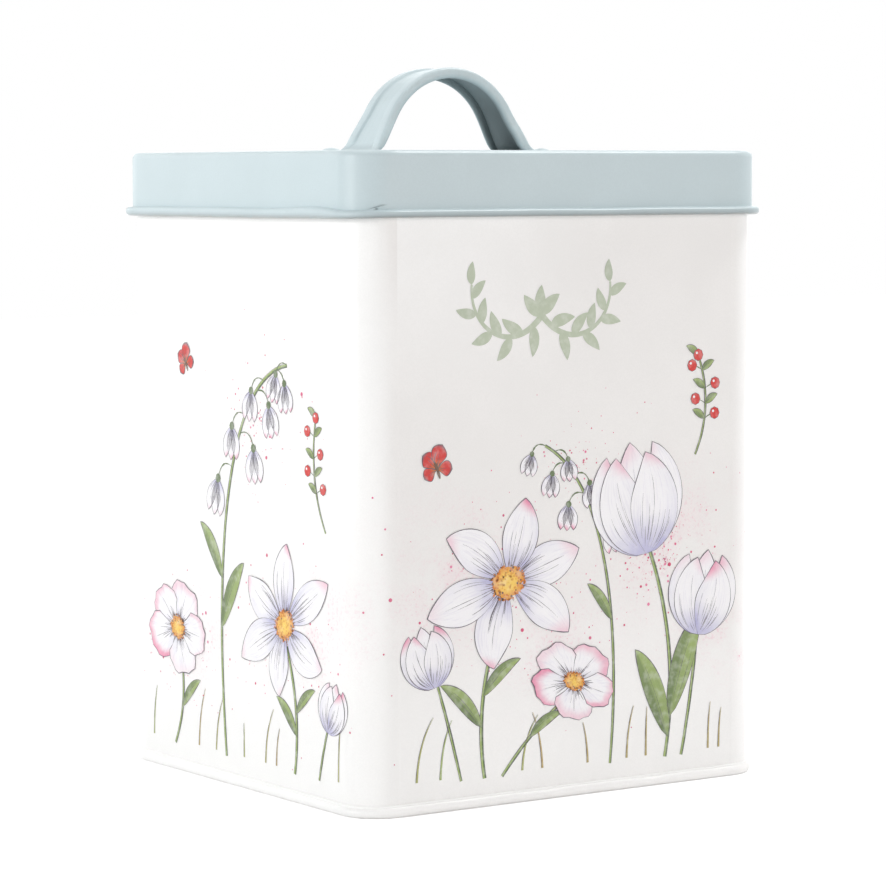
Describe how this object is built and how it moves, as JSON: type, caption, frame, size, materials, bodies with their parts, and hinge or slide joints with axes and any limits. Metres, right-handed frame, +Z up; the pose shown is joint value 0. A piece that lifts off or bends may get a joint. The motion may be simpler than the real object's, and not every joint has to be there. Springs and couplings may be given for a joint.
{
  "type": "garden seed organizer box",
  "caption": "Square upright steel tin with a slip-over lid, an arched strap handle riveted to the lid and tabbed index cards inside for filing seed packets.",
  "frame": {"origin": "on the floor, under the middle of the tin", "axes": "+Z up; the front face looks towards -Y; the handle runs along X"},
  "size_m": [0.1468, 0.1402, 0.2092],
  "materials": {
    "white_enamel": "satin",
    "lid_enamel": "satin",
    "washer_steel": "satin",
    "index_board": "matte"
  },
  "bodies": {
    "tin": {"body_shell": "white_enamel", "base_pan": "white_enamel"},
    "lid": {"lid_shell": "lid_enamel", "handle_strap": "lid_enamel", "rivets": "lid_enamel", "rivet_washers": "washer_steel"},
    "card_01": {"index_card_01": "index_board"},
    "card_02": {"index_card_02": "index_board"},
    "card_03": {"index_card_03": "index_board"},
    "card_04": {"index_card_04": "index_board"},
    "card_05": {"index_card_05": "index_board"},
    "card_06": {"index_card_06": "index_board"},
    "card_07": {"index_card_07": "index_board"},
    "card_08": {"index_card_08": "index_board"},
    "card_09": {"index_card_09": "index_board"},
    "card_10": {"index_card_10": "index_board"},
    "card_11": {"index_card_11": "index_board"},
    "card_12": {"index_card_12": "index_board"}
  },
  "joints": [
    {"name": "lid_lift", "type": "slide", "parent": "tin", "child": "lid", "axis": [0, 0, 1], "range_m": [0, 0.12]},
    {"name": "card_01_lift", "type": "slide", "parent": "tin", "child": "card_01", "axis": [0, 0, 1], "range_m": [0, 0.013]},
    {"name": "card_02_lift", "type": "slide", "parent": "tin", "child": "card_02", "axis": [0, 0, 1], "range_m": [0, 0.013]},
    {"name": "card_03_lift", "type": "slide", "parent": "tin", "child": "card_03", "axis": [0, 0, 1], "range_m": [0, 0.013]},
    {"name": "card_04_lift", "type": "slide", "parent": "tin", "child": "card_04", "axis": [0, 0, 1], "range_m": [0, 0.013]},
    {"name": "card_05_lift", "type": "slide", "parent": "tin", "child": "card_05", "axis": [0, 0, 1], "range_m": [0, 0.013]},
    {"name": "card_06_lift", "type": "slide", "parent": "tin", "child": "card_06", "axis": [0, 0, 1], "range_m": [0, 0.013]},
    {"name": "card_07_lift", "type": "slide", "parent": "tin", "child": "card_07", "axis": [0, 0, 1], "range_m": [0, 0.013]},
    {"name": "card_08_lift", "type": "slide", "parent": "tin", "child": "card_08", "axis": [0, 0, 1], "range_m": [0, 0.013]},
    {"name": "card_09_lift", "type": "slide", "parent": "tin", "child": "card_09", "axis": [0, 0, 1], "range_m": [0, 0.013]},
    {"name": "card_10_lift", "type": "slide", "parent": "tin", "child": "card_10", "axis": [0, 0, 1], "range_m": [0, 0.013]},
    {"name": "card_11_lift", "type": "slide", "parent": "tin", "child": "card_11", "axis": [0, 0, 1], "range_m": [0, 0.013]},
    {"name": "card_12_lift", "type": "slide", "parent": "tin", "child": "card_12", "axis": [0, 0, 1], "range_m": [0, 0.013]}
  ]
}
